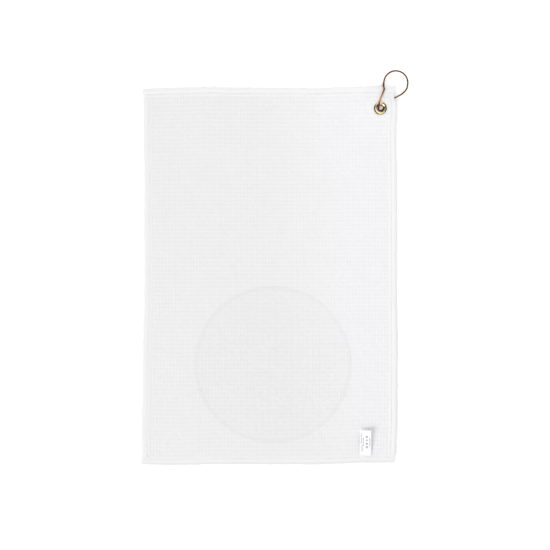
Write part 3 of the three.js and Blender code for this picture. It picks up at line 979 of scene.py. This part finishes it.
def hook_points():
    """The hook's route from its hidden end to its tip, from the grommet centre."""
    neck_x, neck_y = NECK
    entry_x, entry_y = ENTRY
    down_the_neck = [
        (neck_x, neck_y, 6.1), (neck_x, neck_y, LEG_HEIGHT + 2.2),
        (neck_x, neck_y - 0.6, LEG_HEIGHT + 0.6),
    ]
    hidden_leg = [
        (neck_x, neck_y - 2.2), (5.9, 29), (6.2, 18), (6.2, 8), (5.8, 1.8), (4.1, -1.6),
        (1.1, -2.8), (-1.6, -2.4),
    ]
    up_through_the_hole = [
        (entry_x - 0.4, entry_y - 2.4, LEG_HEIGHT + 0.25),
        (entry_x - 0.1, entry_y - 0.6, LEG_HEIGHT + 1.0), (entry_x, entry_y, 3.15),
        (entry_x, entry_y, 6.0), (entry_x, entry_y + 0.7, OVER_FLANGE - 1.0),
        (entry_x + 0.05, entry_y + 2.6, OVER_FLANGE), (entry_x + 0.3, entry_y + 5.6, OVER_FLANGE),
        (-1.2, 12.2, LOOP_HEIGHT + 0.55),
    ]
    shank = [(0.45, 16.6), (5.0, 27.4), (6.1, 31.0), (5.55, 35.4), (neck_x, 39.6)]
    loop = [
        (LOOP_CENTRE[0] + LOOP_RADIUS * math.cos(a), LOOP_CENTRE[1] + LOOP_RADIUS * math.sin(a))
        for a in np.linspace(LOOP_START, LOOP_END, 13)
    ]
    tip = [(42.4, 31.7), (37.9, 25.8), (33.4, 22.2), (28.0, 19.2), (22.7, 16.7)]
    points = down_the_neck + level_stretch(LEG_HEIGHT, hidden_leg) + up_through_the_hole
    points += level_stretch(LOOP_HEIGHT, shank + loop + tip)
    return np.array(points) + np.array([*GROMMET, 0])


def smooth_route(points, steps):
    """A centripetal Catmull-Rom curve through the points, as even as its points are."""
    padded = np.vstack([2 * points[0] - points[1], points, 2 * points[-1] - points[-2]])
    route = []
    for i in range(1, len(padded) - 2):
        p0, p1, p2, p3 = padded[i - 1:i + 3]
        t1 = np.linalg.norm(p1 - p0) ** 0.5
        t2 = t1 + np.linalg.norm(p2 - p1) ** 0.5
        t3 = t2 + np.linalg.norm(p3 - p2) ** 0.5
        for t in np.linspace(t1, t2, steps, endpoint=False):
            a1 = p0 * (t1 - t) / t1 + p1 * t / t1
            a2 = p1 * (t2 - t) / (t2 - t1) + p2 * (t - t1) / (t2 - t1)
            a3 = p2 * (t3 - t) / (t3 - t2) + p3 * (t - t2) / (t3 - t2)
            b1 = a1 * (t2 - t) / t2 + a2 * t / t2
            b2 = a2 * (t3 - t) / (t3 - t1) + a3 * (t - t1) / (t3 - t1)
            route.append(b1 * (t2 - t) / (t2 - t1) + b2 * (t - t1) / (t2 - t1))
    route.append(points[-1])
    return np.array(route)


def tube(route, radii, ring_size):
    """Vertices and faces of a round wire along a route, with both ends closed."""
    tangents = np.gradient(route, axis=0)
    tangents /= np.linalg.norm(tangents, axis=1)[:, None]
    normal = np.cross(tangents[0], (0.3, 1.0, 0.2))
    angles = 2 * math.pi * np.arange(ring_size) / ring_size
    vertices = []
    for point, tangent, radius in zip(route, tangents, radii):
        normal = normal - tangent * normal.dot(tangent)
        normal /= np.linalg.norm(normal)
        side = np.cross(tangent, normal)
        for angle in angles:
            vertices.append(point + radius * (math.cos(angle) * normal + math.sin(angle) * side))
    return vertices, capped_tube(len(route), ring_size)


def make_hook():
    """One length of bent wire, with the sharp edge taken off its cut ends."""
    route = smooth_route(hook_points(), 10)
    start = route[0] + (route[0] - route[1]) * 0.01
    end = route[-1] + (route[-1] - route[-2]) * 0.01
    route = np.vstack([start, route, end])
    radii = np.full(len(route), WIRE_RADIUS)
    radii += wobble(np.arange(len(route)), 6, 0.025, 61)
    radii[[0, -1]] = WIRE_RADIUS * 0.8
    vertices, faces = tube(route, radii, 20)
    return new_piece("wire_hook", vertices, faces, "hook", ["hook"], [WIRE])


# ---- care tag --------------------------------------------------------------------------------
TAG_WIDTH = TAG_HIGH[0] - TAG_LOW[0]
TAG_CENTRE_X = (TAG_LOW[0] + TAG_HIGH[0]) / 2
TAG_ROOT_Y = TAG_LOW[1]
TAG_LENGTH = TAG_HIGH[1] - TAG_LOW[1]
TAG_TUCK = 2.0  # how far its two ends run in under the hem
TAG_RISE = 6.9  # how far the fold stands up above the seam
TAG_BASE = 2.45  # height of the ribbon's middle at the seam
CURL = 1.3  # how much the right edge is raised and the left one lowered at the fold
PLY = 0.24  # thickness of the ribbon


def tag_centreline():
    """The ribbon's middle in its own plane: out along the lower ply, back along the upper."""
    share = np.linspace(0, 1, 34)
    y = -TAG_TUCK + (TAG_LENGTH + TAG_TUCK) * share
    rise = TAG_RISE * np.clip(y / TAG_LENGTH, 0, 1) ** 0.85
    gap = 0.18 + 0.62 * ease(share, 0.1, 0.95)
    lower = np.stack([y, rise - gap / 2], axis=1)
    upper = np.stack([y, rise + gap / 2], axis=1)[::-1]
    radius = gap[-1] / 2
    bend = [
        (y[-1] + radius * math.cos(a), rise[-1] + radius * math.sin(a))
        for a in np.linspace(-math.pi / 2, math.pi / 2, 9)[1:-1]
    ]
    return np.vstack([lower, bend, upper])


def make_tag():
    """The folded ribbon, a closed sheet whose UV map is in units of RIBBON_UV_MM."""
    line = tag_centreline()
    tangents = np.gradient(line, axis=0)
    tangents /= np.linalg.norm(tangents, axis=1)[:, None]
    normals = np.stack([tangents[:, 1], -tangents[:, 0]], axis=1)
    run = np.concatenate([[0], np.cumsum(np.linalg.norm(np.diff(line, axis=0), axis=1))])
    across = np.linspace(-1, 1, 15)
    inner = line - normals * PLY / 2
    outer = line + normals * PLY / 2
    outline = np.vstack([outer, inner[::-1]])
    from_fold = run - run[-1] / 2
    along_ribbon = np.concatenate([from_fold, from_fold[::-1]])
    vertices = []
    uvs = []
    for place in across:
        for (y, z), v in zip(outline, along_ribbon):
            share = np.clip(y / TAG_LENGTH, 0, 1)
            width = TAG_WIDTH / 2 * (1.03 - 0.06 * share)
            x = TAG_CENTRE_X + 0.4 + place * width - 0.6 * share
            curl = 0.4 * place ** 2 * share + CURL * place * share
            vertices.append((x, TAG_ROOT_Y + y, TAG_BASE + z + curl))
            uvs.append(((place + 1) * TAG_WIDTH / 2 / RIBBON_UV_MM, v / RIBBON_UV_MM))
    faces = capped_tube(len(across), len(outline))
    piece = new_piece(
        "folded_care_tag", vertices, faces, None, ["care_tag"], [RIBBON]
    )
    layer = piece.data.uv_layers.new(name="ribbon")
    for loop in piece.data.loops:
        layer.data[loop.index].uv = uvs[loop.vertex_index]
    return piece


# ---- stage, light and camera -----------------------------------------------------------------
def make_floor():
    """A white floor, just under the towel so that the two never share a plane."""
    shader = Shader("stage_white", (0.9, 0.9, 0.9), 0.9)
    shader.set("Emission Color", (1, 1, 1, 1))
    shader.set("Emission Strength", 0.22)
    mesh = bpy.data.meshes.new("floor")
    half = 8.0
    drop = -0.0003
    corners = [(-half, -half, drop), (half, -half, drop), (half, half, drop), (-half, half, drop)]
    mesh.from_pydata(corners, [], [(0, 1, 2, 3)])
    mesh.materials.append(shader.material)
    floor = bpy.data.objects.new("floor", mesh)
    bpy.context.scene.collection.objects.link(floor)


WORLD_STRENGTH = 1.3
SKIRTING = 0.17  # how far up the end walls stay white, as the Z of a direction
END_WALL_DIMMING = 0.88


def make_world():
    """A white room, darker overhead and high on its end walls, to give metal contrast."""
    world = bpy.data.worlds.new("studio")
    bpy.context.scene.world = world
    room = NodeTree(world)
    x, y, z = room.parts(room.node("ShaderNodeTexCoord").outputs["Generated"])
    ramp = room.node("ShaderNodeValToRGB", z)
    stops = [(0.0, 1.25), (0.3, 1.25), (0.5, 0.7), (0.8, 0.6), (1.0, 0.35)]
    elements = ramp.color_ramp.elements
    while len(elements) < len(stops):
        elements.new(0.5)
    for element, (place, level) in zip(elements, stops):
        element.position = place
        element.color = (level, level, level, 1)
    across = room.math("MULTIPLY", x, x)
    along = room.math("MULTIPLY", y, y)
    level_part = room.math("MAXIMUM", room.math("ADD", across, along), 0.02)
    to_end_wall = room.math("POWER", room.math("DIVIDE", across, level_part), 2.0)
    above_skirting = room.math("MULTIPLY", room.math("SUBTRACT", z, SKIRTING), 12.0, True)
    dark_share = room.math("MULTIPLY", above_skirting, END_WALL_DIMMING)
    dimming = room.math("SUBTRACT", 1.0, room.math("MULTIPLY", to_end_wall, dark_share))
    background = room.nodes["Background"]
    room.feed(background.inputs[0], room.scaled(ramp.outputs[0], dimming))
    background.inputs[1].default_value = WORLD_STRENGTH


def add_area_light(name, place, size, power, colour):
    """A round light that faces the origin."""
    data = bpy.data.lights.new(name, "AREA")
    data.shape = "DISK"
    data.size = size
    data.energy = power
    data.color = colour
    light = bpy.data.objects.new(name, data)
    light.location = place
    direction = -np.array(place)
    pitch = math.atan2(math.hypot(direction[0], direction[1]), -direction[2])
    turn = math.atan2(direction[1], direction[0]) - math.pi / 2
    light.rotation_euler = (pitch, 0, turn)
    bpy.context.scene.collection.objects.link(light)


def make_camera():
    """Straight above the towel, with the towel a little left of the middle."""
    data = bpy.data.cameras.new("camera")
    data.lens = 85
    data.sensor_width = 36
    frame_width = 0.889  # of the picture, in metres at the floor
    distance = frame_width * data.lens / data.sensor_width
    camera = bpy.data.objects.new("camera", data)
    camera.location = (0.007, 0.0021, distance)
    bpy.context.scene.collection.objects.link(camera)
    bpy.context.scene.camera = camera


make_camera()
make_floor()
make_world()
add_area_light("key", (-2.6, -2.1, 3.0), 2.4, 97, (1.0, 0.998, 0.994))
add_area_light("fill", (0.9, 0.85, 1.15), 2.2, 9.5, (0.985, 0.988, 1.0))
bpy.context.scene.view_settings.view_transform = "Standard"

cloth = make_cloth()
hems = [make_hem(side) for side in SIDES]
for side_name in SIDES:
    make_stitches(side_name, True)
    make_stitches(side_name, False)
make_eyelet()
make_washer()
make_hook()
tag = make_tag()

# The cloth was cut with 22.2 mm on each side to turn in for the hems.
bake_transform(tag)
